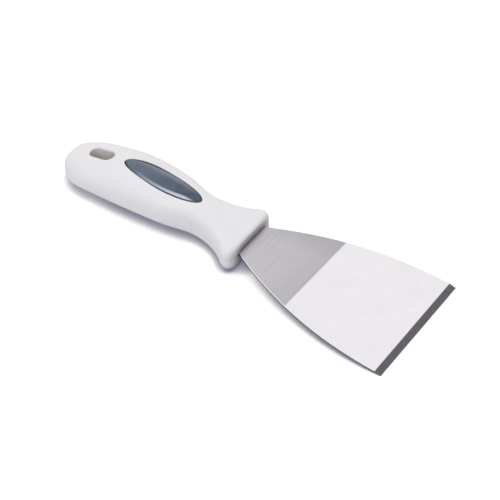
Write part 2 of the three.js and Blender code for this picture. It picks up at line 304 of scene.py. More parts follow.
class Feature:
    """A hole through part of the skin, with the rings that round its rim."""

    def __init__(self, outline, rounding, margin):
        self.margin = outline(margin)
        self.rim = outline(0)
        offsets = [margin, (margin + rounding) / 2] + [rounding * share for share in ROUNDING_SHARES]
        self.rings = []
        for offset in offsets:
            inward = max(rounding - offset, 0)
            drop = rounding - math.sqrt(rounding ** 2 - inward ** 2)
            self.rings.append((outline(offset), drop))


def fill_band(bm, grid, places, turns, columns, rows, features, upper):
    """Triangles over a patch of the skin's grid, round the holes in it. Returns each rim."""
    turn_scale = BADGE_HALF_WIDTH * 2  # takes a turn to about the length of skin that it spans
    points = []
    verts = []
    sign = -1 if upper else 1

    def add(x, turn, vert):
        points.append(Vector((x, turn * turn_scale)))
        verts.append(vert)

    for i in columns:
        for k in rows:
            edge = i in (columns[0], columns[-1]) or k in (rows[0], rows[-1])
            turn = turns(k)
            spot = skin(places[i], turn)
            if edge:
                add(places[i], turn, grid[i][k % TURN_STEPS])
            elif not any(inside((spot.x, spot.y), feature.margin) for feature in features):
                add(places[i], turn, bm.verts.new(row_point(spot)))
    edges = []
    rims = []
    for feature in features:
        for outline, drop in feature.rings:
            first = len(points)
            for x, y in outline:
                turn = turn_at(x, y, upper)
                if not upper and turn > 0:
                    turn -= 2 * math.pi
                spot = skin(x, turn)
                spot.z += sign * drop
                add(x, turn, bm.verts.new(row_point(spot)))
            size = len(outline)
            edges += [(first + step, first + (step + 1) % size) for step in range(size)]
        rims.append(verts[first:])
    for sources in triangulate(points, edges, WHOLE_HULL):
        corners = [(points[s].x, skin(points[s].x, points[s].y / turn_scale).y) for s in sources]
        middle = np.mean(corners, axis=0)
        if not any(inside(middle, feature.rim) for feature in features):
            bm.faces.new([verts[s] for s in sources])
    return rims


def bridge(bm, first, second):
    """Quads between two closed loops of equal length."""
    size = len(first)
    for step in range(size):
        after = (step + 1) % size
        bm.faces.new((first[step], first[after], second[after], second[step]))


def blade_height(u, over):
    """Height of a point over the blade's underside, at a distance along it."""
    return BLADE_HEEL_HEIGHT - u * math.sin(PITCH) + over * math.cos(PITCH)


def fill_front(bm, ring):
    """The flat front face round the slot that the blade comes out of, and the slot's walls."""
    play = RECESS_CLEARANCE
    half = BLADE_NECK_HALF_WIDTH + play
    low = blade_height(0, -play)
    high = blade_height(0, BLADE_THICKNESS + play)
    corners = [(-half, low), (half, low), (half, high), (-half, high)]
    points = [Vector((vert.co.y / MM, vert.co.z / MM)) for vert in ring]
    verts = list(ring)
    slot = []
    for y, z in corners:
        slot.append(bm.verts.new(row_point(Vector((HANDLE_LENGTH, y, z)))))
        points.append(Vector((y, z)))
    verts += slot
    size = len(ring)
    edges = [(step, (step + 1) % size) for step in range(size)]
    edges += [(size + step, size + (step + 1) % len(slot)) for step in range(len(slot))]
    for sources in triangulate(points, edges, INSIDE_EDGES):
        if any(s < size for s in sources):
            bm.faces.new([verts[s] for s in sources])
    rise = NECK_DEPTH * math.tan(PITCH)
    back = []
    for y, z in corners:
        back.append(bm.verts.new(row_point(Vector((HANDLE_LENGTH - NECK_DEPTH, y, z + rise)))))
    bridge(bm, slot, back)


def handle_surface():
    """The whole skin of the handle as one closed surface, before it is parted into shells."""
    bm = bmesh.new()
    places = ring_places()

    def turns(k):
        return 2 * math.pi * k / TURN_STEPS

    grid = []
    for x in places:
        grid.append([bm.verts.new(row_point(skin(x, turns(k)))) for k in range(TURN_STEPS)])
    hole = Feature(hole_outline, HOLE_ROUNDING, HOLE_MARGIN)
    recess = Feature(recess_outline, RECESS_ROUNDING, RECESS_MARGIN)
    last = len(places) - 1
    start = max(i for i, x in enumerate(places) if x < HOLE_PLACE - HOLE_HALF_LENGTH - HOLE_MARGIN)
    end = HOLE_PLACE + HOLE_HALF_LENGTH + HOLE_MARGIN
    under_end = min(i for i, x in enumerate(places) if x > end)
    end = BADGE_PLACE + BADGE_HALF_LENGTH + RECESS_MARGIN + RECESS_CLEARANCE
    over_end = min(i for i, x in enumerate(places) if x > end)
    # The patches that hold the hole and the recess span a quarter of the turn, over and under
    eighth = TURN_STEPS // 8
    upper_rows = list(range(eighth, 3 * eighth + 1))
    lower_rows = list(range(-3 * eighth, -eighth + 1))
    upper_columns = list(range(start, over_end + 1))
    lower_columns = list(range(start, under_end + 1))
    for i in range(last):
        for k in range(TURN_STEPS):
            in_upper = start <= i < over_end and eighth <= k < 3 * eighth
            in_lower = start <= i < under_end and 5 * eighth <= k < 7 * eighth
            if not in_upper and not in_lower:
                after = (k + 1) % TURN_STEPS
                bm.faces.new((grid[i][k], grid[i][after], grid[i + 1][after], grid[i + 1][k]))
    for rows, columns in ((upper_rows, upper_columns), (lower_rows, lower_columns)):
        for i in columns[1:-1]:
            for k in rows[1:-1]:
                bm.verts.remove(grid[i][k % TURN_STEPS])
    upper_rims = fill_band(bm, grid, places, turns, upper_columns, upper_rows, [hole, recess], True)
    lower_rims = fill_band(bm, grid, places, turns, lower_columns, lower_rows, [hole], False)
    bridge(bm, upper_rims[0], lower_rims[0])
    floor = [bm.verts.new(badge_point(x, y, 0)) for x, y in badge_outline(RECESS_CLEARANCE)]
    bridge(bm, upper_rims[1], floor)
    bm.faces.new(floor)
    butt_middle = section(0)[3]
    pole = bm.verts.new(row_point(Vector((0, 0, butt_middle))))
    for k in range(TURN_STEPS):
        bm.faces.new((pole, grid[0][(k + 1) % TURN_STEPS], grid[0][k]))
    fill_front(bm, grid[last])
    bmesh.ops.recalc_face_normals(bm, faces=bm.faces)
    return bm


def part_off(whole, upper):
    """One shell: the skin on its side of the parting plane, eased along the seam."""
    bm = whole.copy()
    side = 1 if upper else -1
    for offset in (0, SEAM_HALF_WIDTH):
        place = Vector((0, 0, PARTING_HEIGHT + side * offset)) * MM
        everything = bm.verts[:] + bm.edges[:] + bm.faces[:]
        cut_away = {"clear_inner": upper, "clear_outer": not upper} if offset == 0 else {}
        bmesh.ops.bisect_plane(bm, geom=everything, plane_co=place, plane_no=(0, 0, 1), **cut_away)
    bm.normal_update()
    on_seam = SEAM_HALF_WIDTH * MM / 4
    for vert in bm.verts:
        if abs(vert.co.z - PARTING_HEIGHT * MM) < on_seam and vert.is_boundary:
            inward = Vector((vert.normal.x, vert.normal.y, 0))
            vert.co -= inward * SEAM_DEPTH * MM
    return bm


# Blade form

def blade_thickness(u):
    """Thickness of the blade: full, then the ground taper, then the bevel."""
    bevel_start = BLADE_REACH - BEVEL_REACH
    if u <= GROUND_START:
        return BLADE_THICKNESS
    if u <= bevel_start:
        share = (u - GROUND_START) / (bevel_start - GROUND_START)
        return BLADE_THICKNESS + (GROUND_THICKNESS - BLADE_THICKNESS) * share
    share = (u - bevel_start) / BEVEL_REACH
    return GROUND_THICKNESS + (EDGE_THICKNESS - GROUND_THICKNESS) * share


def blade_half_width(u):
    """Half width of the blade outside the handle, flared from the neck to the tip."""
    spread = 1 - (1 - u / BLADE_REACH) ** FLARE_POWER
    return BLADE_NECK_HALF_WIDTH + (BLADE_TIP_HALF_WIDTH - BLADE_NECK_HALF_WIDTH) * spread


def blade_stations():
    """Pairs of distance and half width, from the end of the tang to the tip."""
    pairs = []
    quarter = math.pi / 2
    for step in range(1, TANG_STEPS + 1):
        angle = step / TANG_STEPS * quarter
        depth = TANG_REACH - TANG_ROUNDING * (1 - math.cos(angle))
        pairs.append((-depth, TANG_HALF_WIDTH - TANG_ROUNDING * (1 - math.sin(angle))))
    pairs += [(-NECK_DEPTH, TANG_HALF_WIDTH), (-NECK_DEPTH + SIDE_EASE, BLADE_NECK_HALF_WIDTH)]
    stops = {0, GROUND_START, BLADE_REACH - BEVEL_REACH, BLADE_REACH}
    stops |= {BLADE_REACH * step / BLADE_STEPS for step in range(BLADE_STEPS)}
    pairs += [(u, blade_half_width(u)) for u in sorted(stops)]
    return pairs


def blade_ring(u, half_width):
    """The eight corners of the blade's section, whose long edges are eased."""
    thickness = blade_thickness(u)
    ease = min(SIDE_EASE, thickness * MOST_EASE_SHARE)
    near_edge = min(WORN_DEPTH, thickness * MOST_EASE_SHARE)
    corners = (
        (half_width - ease, 0), (half_width, ease),
        (half_width, thickness - ease), (half_width - ease, thickness),
        (WORN_WIDTH - half_width, thickness), (-half_width, thickness - near_edge),
        (-half_width, ease), (ease - half_width, 0),
    )
    ring = []
    for across, over in corners:
        along = HANDLE_LENGTH + u * math.cos(PITCH) + over * math.sin(PITCH)
        ring.append(row_point(Vector((along, across, blade_height(u, over)))))
    return ring


# Faces of one step along the blade, and the blade's materials
TOP_FACE = 3
WORN_EDGE = 4
UNDERSIDE = 7
BEVEL_FINISH = 1
NEAR_EDGE_HIGHLIGHT_FINISH = 2
SIDE_SHADE_FINISH = 3


def blade_surface():
    """The whole blade with its tang, each face with the finish of its place."""
    bm = bmesh.new()
    stations = blade_stations()
    rings = [[bm.verts.new(point) for point in blade_ring(u, w)] for u, w in stations]
    bevel_start = BLADE_REACH - BEVEL_REACH
    for (u, _), first, second in zip(stations, rings, rings[1:]):
        for step in range(len(first)):
            after = (step + 1) % len(first)
            face = bm.faces.new((first[step], first[after], second[after], second[step]))
            if step == TOP_FACE and u >= bevel_start:
                face.material_index = BEVEL_FINISH
            # The near edge's chamfer takes steel painted bright as a highlight
            elif step == WORN_EDGE and u < bevel_start:
                face.material_index = NEAR_EDGE_HIGHLIGHT_FINISH
            # The sides and the other chamfers take steel painted dark as shade
            elif step not in (TOP_FACE, UNDERSIDE):
                face.material_index = SIDE_SHADE_FINISH
    bm.faces.new(rings[0])
    # The tip's edge takes the painted highlight too
    bm.faces.new(rings[-1]).material_index = NEAR_EDGE_HIGHLIGHT_FINISH
    bmesh.ops.recalc_face_normals(bm, faces=bm.faces)
    return bm


# Badge form

def badge_plate_surface():
    """The flat printed plate."""
    bm = bmesh.new()
    outline = badge_outline(0)
    loops = []
    for height in (BADGE_PLATE_HEIGHT, BADGE_PLATE_HEIGHT + BADGE_PLATE_THICKNESS):
        loops.append([bm.verts.new(badge_point(x, y, height)) for x, y in outline])
    bridge(bm, *loops)
    for loop in loops:
        bm.faces.new(loop)
    bmesh.ops.recalc_face_normals(bm, faces=bm.faces)
    return bm


def badge_dome_surface():
    """The clear dome: a rounded edge, then a low crown."""
    bm = bmesh.new()
    outline = badge_outline(0)
    edge = BADGE_DOME_HEIGHT + BADGE_DOME_EDGE
    loops = [[bm.verts.new(badge_point(x, y, BADGE_DOME_HEIGHT)) for x, y in outline]]
    for step in range(DOME_STEPS):
        share = math.sin(step / DOME_STEPS * math.pi / 2)
        size = math.sqrt(1 - share ** 2)
        height = edge + BADGE_DOME_RISE * share
        loops.append([bm.verts.new(badge_point(x * size, y * size, height)) for x, y in outline])
    for first, second in zip(loops, loops[1:]):
        bridge(bm, first, second)
    bm.faces.new(loops[0])
    crown = bm.verts.new(badge_point(0, 0, edge + BADGE_DOME_RISE))
    for step in range(BADGE_STEPS):
        bm.faces.new((loops[-1][step], loops[-1][(step + 1) % BADGE_STEPS], crown))
    bmesh.ops.recalc_face_normals(bm, faces=bm.faces)
    return bm


# Materials

# The part of a noise's range that is spread over the whole range of what it drives
NOISE_MIDDLE = (0.35, 0.65)
NOISE_RANGE = (0.3, 0.7)
OPENNESS_SAMPLES = 8
# A mix node's sockets for numbers and for colours: the share and both ends, then the result
MIX_INPUTS = {"FLOAT": (0, 2, 3), "RGBA": (0, 6, 7)}
MIX_OUTPUT = {"FLOAT": 0, "RGBA": 2}


class Tree:
    """A node tree, with short calls that add and join nodes."""

    def __init__(self, tree):
        self.tree = tree

    def add(self, kind, **values):
        node = self.tree.nodes.new(kind)
        for name, value in values.items():
            setattr(node, name, value)
        return node

    def fill(self, socket, value):
        """Gives a socket a number, a colour or another node's output."""
        if isinstance(value, tuple):
            socket.default_value = (*value, 1)
        elif isinstance(value, (int, float)):
            socket.default_value = value
        else:
            self.tree.links.new(value, socket)

    def spread(self, value, low, high, to_low=0, to_high=1, fall="LINEAR"):
        """Value from one range taken to another, and kept inside it."""
        node = self.add("ShaderNodeMapRange", interpolation_type=fall)
        ends = {"From Min": low, "From Max": high, "To Min": to_low, "To Max": to_high}
        for name, end in ends.items():
            node.inputs[name].default_value = end
        self.fill(node.inputs["Value"], value)
        return node.outputs["Result"]

    def math(self, operation, first, second, clamp=False):
        node = self.add("ShaderNodeMath", operation=operation, use_clamp=clamp)
        self.fill(node.inputs[0], first)
        self.fill(node.inputs[1], second)
        return node.outputs[0]

    def plus(self, first, second):
        return self.math("ADD", first, second)

    def times(self, first, second):
        return self.math("MULTIPLY", first, second)

    def seen(self):
        """1 for a ray that shows things to the camera, straight, mirrored or through glass, else 0."""
        path = self.add("ShaderNodeLightPath").outputs
        straight_or_mirrored = self.math("MAXIMUM", path["Is Camera Ray"], path["Is Glossy Ray"])
        return self.math("MAXIMUM", straight_or_mirrored, path["Is Transmission Ray"])


class Nodes(Tree):
    """A material's node tree, over the object's own place."""

    def __init__(self, name):
        self.material = bpy.data.materials.new(name)
        self.material.use_nodes = True
        super().__init__(self.material.node_tree)
        self.shader = self.tree.nodes["Principled BSDF"]
        self.place = self.add("ShaderNodeTexCoord").outputs["Object"]

    def coordinate(self, axis):
        node = self.add("ShaderNodeSeparateXYZ")
        self.fill(node.inputs[0], self.place)
        return node.outputs[axis]

    def noise(self, scale, detail=2, stretch=(1, 1, 1)):
        """Noise over the place, its scale in waves per metre."""
        mapping = self.add("ShaderNodeMapping")
        mapping.inputs["Scale"].default_value = stretch
        self.fill(mapping.inputs["Vector"], self.place)
        texture = self.add("ShaderNodeTexNoise")
        self.fill(texture.inputs["Scale"], scale)
        self.fill(texture.inputs["Detail"], detail)
        self.fill(texture.inputs["Vector"], mapping.outputs["Vector"])
        return texture.outputs["Fac"]

    def openness(self, reach):
        """How open a point is to what lies within reach, from 0 to 1."""
        node = self.add("ShaderNodeAmbientOcclusion", samples=OPENNESS_SAMPLES)
        self.fill(node.inputs["Distance"], reach)
        return node.outputs["AO"]

    def mix(self, share, first, second, kind="RGBA"):
        """A colour between two, each a colour or a socket."""
        node = self.add("ShaderNodeMix", data_type=kind)
        for place, value in zip(MIX_INPUTS[kind], (share, first, second)):
            self.fill(node.inputs[place], value)
        return node.outputs[MIX_OUTPUT[kind]]

    def blend(self, share, first, second):
        """A number between two."""
        return self.mix(share, first, second, kind="FLOAT")

    def give(self, name, value):
        """Gives one of the shader's sockets a number, a colour or another node's output."""
        self.fill(self.shader.inputs[name], value)

    def bump(self, height, strength, distance):
        node = self.add("ShaderNodeBump")
        self.fill(node.inputs["Strength"], strength)
        self.fill(node.inputs["Distance"], distance)
        self.fill(node.inputs["Height"], height)
        self.give("Normal", node.outputs["Normal"])


PLASTIC_COLOURS = ((0.795, 0.785, 0.79), (0.82, 0.81, 0.815))
PLASTIC_ROUGHNESS = (0.4, 0.5)
PLASTIC_IOR = 1.46
GRAIN_DEPTH = 0.00005
# Painted shade in the crevices: how near they close in, and how open the skin is where the painted shade
# lies thickest and where it ends
CREVICE_REACH = 0.008
CREVICE_OPENNESS = (0.59, 0.92)
HOLE_PAINTED_SHADE = (0.84, 0.79, 0.715)
BLADE_PAINTED_SHADE = (0.16, 0.155, 0.16)


def plastic_material():
    """White moulded plastic with a satin skin, faint flow marks and painted shade in its crevices, warm
    grey in the hang hole and dark grey by the blade.
    """
    nodes = Nodes("white_satin_plastic")
    flow = nodes.noise(scale=60, detail=3, stretch=(0.4, 1, 1))
    unshaded = nodes.mix(nodes.spread(flow, *NOISE_MIDDLE), *PLASTIC_COLOURS)
    hole = (HOLE_PLACE + SHIFT) * MM
    badge_start = (BADGE_PLACE - BADGE_HALF_LENGTH + SHIFT) * MM
    past_hole = nodes.spread(nodes.coordinate("X"), hole, badge_start)
    # Painted shade, warm grey in the hang hole and dark grey at the front by the blade, laid where the
    # skin is closed in
    painted_shade = nodes.mix(past_hole, HOLE_PAINTED_SHADE, BLADE_PAINTED_SHADE)
    open_share = nodes.spread(nodes.openness(CREVICE_REACH), *CREVICE_OPENNESS)
    grain = nodes.noise(scale=2600)
    nodes.give("Base Color", nodes.mix(open_share, painted_shade, unshaded))
    nodes.give("Roughness", nodes.spread(grain, *NOISE_RANGE, *PLASTIC_ROUGHNESS))
    nodes.give("IOR", PLASTIC_IOR)
    nodes.bump(grain, strength=0.05, distance=GRAIN_DEPTH)
    return nodes.material


BRUSHED_COLOURS = ((0.525, 0.505, 0.54), (0.62, 0.595, 0.635))
BRUSHED_ROUGHNESS = (0.3, 0.42)
BRUSH_DEPTH = 0.00002
STREAK_SHARE = 0.6
POLISHED_COLOURS = ((0.83, 0.807, 0.83), (0.865, 0.84, 0.865))
POLISHED_ROUGHNESS = (0.2, 0.26)
# Darker tints: towards the taper, along the far side, and on the line where the polish starts
TAPER_TINT = (0.42, 0.4, 0.44)
TAPER_TINT_SHARE = 0.5
DARK_TINT = (0.36, 0.35, 0.38)
FAR_SIDE_SHARE = 0.4
FAR_SIDE_PLACES = (0.012, 0.026)
FAR_SIDE_SLANT = 0.2
LINE_SHARE = 0.35
LINE_WIDTH = 0.0009
LINE_WOBBLE = 0.0003


def steel_material():
    """The blade's faces: brushed by the handle, then polished from the start of the taper."""
    nodes = Nodes("blade_steel")
    across = nodes.coordinate("Y")
    boundary = (HANDLE_LENGTH + SHIFT + GROUND_START * math.cos(PITCH)) * MM
    past_boundary = nodes.plus(nodes.coordinate("X"), -boundary)
    ahead = nodes.plus(past_boundary, nodes.times(across, -POLISH_SKEW))
    wobble = nodes.spread(nodes.noise(scale=900), 0, 1, -LINE_WOBBLE, LINE_WOBBLE)
    wavy_ahead = nodes.plus(ahead, wobble)
    streak = nodes.noise(scale=900, detail=3, stretch=(1, 0.05, 1))
    cloud = nodes.noise(scale=45, detail=3)
    tone = nodes.plus(nodes.times(streak, STREAK_SHARE), nodes.times(cloud, 1 - STREAK_SHARE))
    brushed = nodes.mix(nodes.spread(tone, *NOISE_MIDDLE), *BRUSHED_COLOURS)
    by_taper = nodes.spread(ahead, -GROUND_START * MM, 0, 0, TAPER_TINT_SHARE)
    brushed = nodes.mix(by_taper, brushed, TAPER_TINT)
    far_place = nodes.plus(across, nodes.times(ahead, -FAR_SIDE_SLANT))
    by_far_side = nodes.spread(far_place, *FAR_SIDE_PLACES, 0, FAR_SIDE_SHARE)
    brushed = nodes.mix(by_far_side, brushed, DARK_TINT)
    mottle = nodes.noise(scale=120, detail=3)
    bright = nodes.mix(nodes.spread(mottle, *NOISE_RANGE), *POLISHED_COLOURS)
    polished_share = nodes.spread(wavy_ahead, -LINE_WOBBLE, LINE_WOBBLE)
    face = nodes.mix(polished_share, brushed, bright)
    off_line = nodes.math("ABSOLUTE", wavy_ahead, 0)
    line_share = nodes.spread(off_line, 0, LINE_WIDTH, LINE_SHARE, 0)
    nodes.give("Base Color", nodes.mix(line_share, face, DARK_TINT))
    nodes.give("Metallic", 1)
    rough = nodes.spread(streak, *NOISE_RANGE, *BRUSHED_ROUGHNESS)
    smooth = nodes.spread(mottle, *NOISE_RANGE, *POLISHED_ROUGHNESS)
    nodes.give("Roughness", nodes.blend(polished_share, rough, smooth))
    nodes.bump(nodes.noise(scale=3600, stretch=(1, 0.03, 1)), strength=0.12, distance=BRUSH_DEPTH)
    return nodes.material


BEVEL_COLOURS = ((0.095, 0.09, 0.1), (0.135, 0.13, 0.14))
BLOTCH_COLOUR = (0.18, 0.175, 0.185)
BLOTCH_SHARE = 0.5


def bevel_material():
    """The ground bevel at the tip, darker, with marks of the grinding across it."""
    nodes = Nodes("blade_bevel")
    marks = nodes.noise(scale=1500, stretch=(1, 0.06, 1))
    blotch = nodes.spread(nodes.noise(scale=650), *NOISE_RANGE, 0, BLOTCH_SHARE)
    nodes.give("Base Color", nodes.mix(blotch, nodes.mix(marks, *BEVEL_COLOURS), BLOTCH_COLOUR))
    nodes.give("Metallic", 1)
    nodes.give("Roughness", nodes.spread(marks, *NOISE_RANGE, *BRUSHED_ROUGHNESS))
    nodes.bump(marks, strength=0.1, distance=BRUSH_DEPTH)
    return nodes.material


# Steel painted bright as a highlight on the near edge's chamfer and the tip's edge
NEAR_EDGE_HIGHLIGHT_COLOURS = ((0.84, 0.82, 0.86), (0.93, 0.91, 0.95))
# Steel painted dark as shade on the blade's sides and its other chamfers
SIDE_SHADE_COLOURS = ((0.12, 0.117, 0.125), (0.17, 0.166, 0.178))
EDGE_ROUGHNESS = (0.25, 0.38)
EDGE_STRETCH = (0.1, 0.1, 1)
PIN_COLOURS = ((0.32, 0.32, 0.33), (0.4, 0.4, 0.41))
PIN_ROUGHNESS = (0.35, 0.5)
PIN_STRETCH = (0.2, 0.2, 1)


def marked_steel_material(name, colours, roughness, scale, stretch):
    """Plain steel with fine marks, drawn out in a direction."""
    nodes = Nodes(name)
    marks = nodes.noise(scale=scale, stretch=stretch)
    nodes.give("Base Color", nodes.mix(marks, *colours))
    nodes.give("Metallic", 1)
    nodes.give("Roughness", nodes.spread(marks, *NOISE_RANGE, *roughness))
    return nodes.material


def edge_material(name, colours):
    """A long edge of the blade, with fine marks along it."""
    return marked_steel_material(name, colours, EDGE_ROUGHNESS, scale=900, stretch=EDGE_STRETCH)


def pin_material():
    """A turned steel pin."""
    return marked_steel_material("pin_steel", PIN_COLOURS, PIN_ROUGHNESS, scale=1800, stretch=PIN_STRETCH)


PRINT_COLOURS = ((0.065, 0.1, 0.15), (0.013, 0.03, 0.072))
CLOUD_COLOUR = (0.11, 0.14, 0.2)
# Painted highlight along the badge's far side
PAINTED_HIGHLIGHT_COLOUR = (0.2, 0.235, 0.31)
# Painted reflection of the white surroundings, a silver sweep along the badge's near side
PAINTED_REFLECTION_COLOUR = (0.52, 0.59, 0.67)
RIM_COLOUR = (0.02, 0.026, 0.045)
CLOUD_RANGE = (0.35, 0.75)
CLOUD_STRENGTH_SHARE = 0.35
PAINTED_HIGHLIGHT_STRENGTH_SHARE = 0.6
# Where each starts and is full, as shares of the badge's half length or half width, or of its oval
PRINT_ALONG_SHARES = (-0.5, 0.6)
PAINTED_HIGHLIGHT_ACROSS_SHARES = (0.3, 0.75)
PAINTED_HIGHLIGHT_OVAL_SHARES = (0.95, 0.75)
PAINTED_REFLECTION_ALONG_SHARES = (-0.7, 0.35)
PAINTED_REFLECTION_ACROSS_SHARES = (-0.3, -0.5)
PAINTED_REFLECTION_INNER_SHARES = (0.4, 0.62)
PAINTED_REFLECTION_OUTER_SHARES = (0.93, 0.82)
RIM_SHARES = (0.86, 0.97)
PRINT_ROUGHNESS = (0.28, 0.36)
PRINT_SPECULAR = 0.25
COAT_ROUGHNESS = 0.05


def badge_print_and_painted_light_material(name, coat):
    """Blue-grey print, deeper towards the blade and darker round the rim, with a painted highlight along
    the far side and a painted reflection sweeping along the near side.
    """
    nodes = Nodes(name)
    middle = (BADGE_PLACE + SHIFT) * MM
    from_middle = nodes.plus(nodes.coordinate("X"), -middle)
    along = nodes.math("DIVIDE", from_middle, BADGE_HALF_LENGTH * MM)
    across = nodes.math("DIVIDE", nodes.coordinate("Y"), BADGE_HALF_WIDTH * MM)
    oval = nodes.plus(nodes.times(along, along), nodes.times(across, across))
    cloud = nodes.noise(scale=180)
    colour = nodes.mix(nodes.spread(along, *PRINT_ALONG_SHARES), *PRINT_COLOURS)
    colour = nodes.mix(nodes.spread(cloud, *CLOUD_RANGE, 0, CLOUD_STRENGTH_SHARE), colour, CLOUD_COLOUR)
    # Painted highlight along the badge's far side
    painted_highlight = nodes.spread(across, *PAINTED_HIGHLIGHT_ACROSS_SHARES, 0, PAINTED_HIGHLIGHT_STRENGTH_SHARE)
    painted_highlight = nodes.times(painted_highlight, nodes.spread(oval, *PAINTED_HIGHLIGHT_OVAL_SHARES))
    colour = nodes.mix(painted_highlight, colour, PAINTED_HIGHLIGHT_COLOUR)
    # Painted reflection of the white surroundings, a silver sweep along the near side
    painted_reflection = nodes.times(nodes.spread(oval, *PAINTED_REFLECTION_INNER_SHARES), nodes.spread(oval, *PAINTED_REFLECTION_OUTER_SHARES))
    painted_reflection = nodes.times(painted_reflection, nodes.spread(across, *PAINTED_REFLECTION_ACROSS_SHARES))
    painted_reflection = nodes.times(painted_reflection, nodes.spread(along, *PAINTED_REFLECTION_ALONG_SHARES))
    colour = nodes.mix(painted_reflection, colour, PAINTED_REFLECTION_COLOUR)
    nodes.give("Base Color", nodes.mix(nodes.spread(oval, *RIM_SHARES), colour, RIM_COLOUR))
    nodes.give("Roughness", nodes.spread(cloud, *NOISE_RANGE, *PRINT_ROUGHNESS))
    nodes.give("Specular IOR Level", PRINT_SPECULAR)
    nodes.give("Coat Weight", coat)
    nodes.give("Coat Roughness", COAT_ROUGHNESS)
    return nodes.material


FOAM_COLOURS = ((0.22, 0.23, 0.24), (0.3, 0.31, 0.32))
FOAM_ROUGHNESS = (0.8, 0.95)
FOAM_CELL_DEPTH = 0.0001


def foam_material():
    """Grey adhesive foam with fine cells."""
    nodes = Nodes("badge_foam")
    cells = nodes.noise(scale=2400, detail=3)
    nodes.give("Base Color", nodes.mix(cells, *FOAM_COLOURS))
    nodes.give("Roughness", nodes.spread(cells, *NOISE_RANGE, *FOAM_ROUGHNESS))
    nodes.bump(cells, strength=0.3, distance=FOAM_CELL_DEPTH)
    return nodes.material


# Pieces

def make_piece(name, bm, materials, node, sharp_degrees):
    """A finished object of a mesh, which stands for a CAD node and rides with it."""
    mesh = bpy.data.meshes.new(name)
    bm.to_mesh(mesh)
    bm.free()
    for material in materials:
        mesh.materials.append(material)
    mesh.shade_smooth()
    mesh.set_sharp_from_angle(angle=math.radians(sharp_degrees))
    piece = bpy.data.objects.new(name, mesh)
    bpy.context.scene.collection.objects.link(piece)
    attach(piece, "root" if "root" in frame["bodies"] else next(iter(frame["bodies"])))
    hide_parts(node)


def make_handle():
    whole = handle_surface()
    plastic = [plastic_material()]
    for name, upper in (("handle_upper_shell", True), ("handle_lower_shell", False)):
        shell = part_off(whole, upper)
        make_piece(name + "_skin", shell, plastic, name, sharp_degrees=50)
    whole.free()


def make_blade():
    # Steel painted bright as a highlight along the near edge
    near_edge = edge_material("blade_near_edge_painted_highlight", NEAR_EDGE_HIGHLIGHT_COLOURS)
    # Steel painted dark as shade on the sides and the other chamfers
    side = edge_material("blade_side_painted_shade", SIDE_SHADE_COLOURS)
    materials = [steel_material(), bevel_material(), near_edge, side]
    make_piece("blade_ground", blade_surface(), materials, "blade", sharp_degrees=5)


def make_badge():
    plate = badge_plate_surface()
    # The badge's print carries a painted highlight and a painted reflection
    print_and_painted_light = [badge_print_and_painted_light_material("badge_print_and_painted_light", coat=0)]
    make_piece("badge_plate_print", plate, print_and_painted_light, "badge_plate", sharp_degrees=40)
    dome = badge_dome_surface()
    glazed = [badge_print_and_painted_light_material("badge_print_and_painted_light_under_resin", coat=1)]
    make_piece("badge_dome_resin", dome, glazed, "badge_dome", sharp_degrees=60)


def dress_hidden_nodes():
    """Gives the pieces inside the handle their finishes."""
    finishes = {
        "badge_pad": foam_material(),
        "tang_pin_front": pin_material(),
        "tang_pin_rear": pin_material(),
    }
    for name, material in finishes.items():
        node = frame["nodes"][name]
        node.data.materials.clear()
        node.data.materials.append(material)


# Stage: floor, light and camera

FLOOR_HALF_SIZE = 3
FLOOR_DEPTH = 0.0001
PAPER_COLOURS = ((0.85, 0.855, 0.91), (0.87, 0.875, 0.92))
# What the camera sees of the floor: part of its white is lit, the rest glows
SEEN_PAPER = (0.5, 0.5, 0.5)
SEEN_GLOW = (0.64, 0.64, 0.64)
# How far the knife's shade reaches over the floor, and where along the handle it draws in
PALM_CONTACT_REACH = 0.0085
WAIST_CONTACT_REACH = 0.0061
HEEL_CONTACT_REACH = 0.0107
TIP_CONTACT_REACH = 0.0025
DRAW_IN_PLACES = (84, 100)
# How open the floor is where the shade is darkest and where it ends, and the tints, handle first
HANDLE_SHADE_OPENNESS = (0.56, 0.74)
BLADE_SHADE_OPENNESS = (0.64, 0.705)
SHADE_TINTS = ((0.118, 0.115, 0.175), (0.045, 0.038, 0.07))
BLADE_SHADE_DELAY = 14  # how far in front of the handle the blade's shade has taken over


def floor_material():
    """Pale paper, white where it is seen or reflected, with the knife's tight shade on it."""
    nodes = Nodes("floor_paper")
    places = (*DRAW_IN_PLACES, STATIONS[-2], HANDLE_LENGTH, HANDLE_LENGTH + BLADE_SHADE_DELAY)
    draw_in, drawn_in, flare, heel, past_heel = [(place + SHIFT) * MM for place in places]
    x = nodes.coordinate("X")
    under_palm = nodes.spread(x, draw_in, drawn_in, PALM_CONTACT_REACH, WAIST_CONTACT_REACH)
    under_flare = nodes.spread(x, flare, heel, WAIST_CONTACT_REACH, HEEL_CONTACT_REACH)
    tip = heel + BLADE_REACH * MM
    under_blade = nodes.spread(x, heel, tip, HEEL_CONTACT_REACH, TIP_CONTACT_REACH)
    under_handle = nodes.math("MAXIMUM", under_palm, under_flare)
    openness = nodes.openness(nodes.math("MINIMUM", under_handle, under_blade))
    by_handle = nodes.spread(openness, *HANDLE_SHADE_OPENNESS)
    by_blade = nodes.spread(openness, *BLADE_SHADE_OPENNESS)
    blade_share = nodes.spread(x, heel, past_heel)
    open_share = nodes.blend(blade_share, by_handle, by_blade)
    shade = nodes.mix(blade_share, *SHADE_TINTS)
    seen = nodes.seen()
    paper = nodes.mix(nodes.noise(scale=40), *PAPER_COLOURS)
    nodes.give("Base Color", nodes.mix(seen, paper, SEEN_PAPER))
    nodes.give("Roughness", 1)
    nodes.give("Specular IOR Level", 0)
    nodes.give("Emission Color", nodes.mix(open_share, shade, SEEN_GLOW))
    nodes.give("Emission Strength", seen)
    return nodes.material


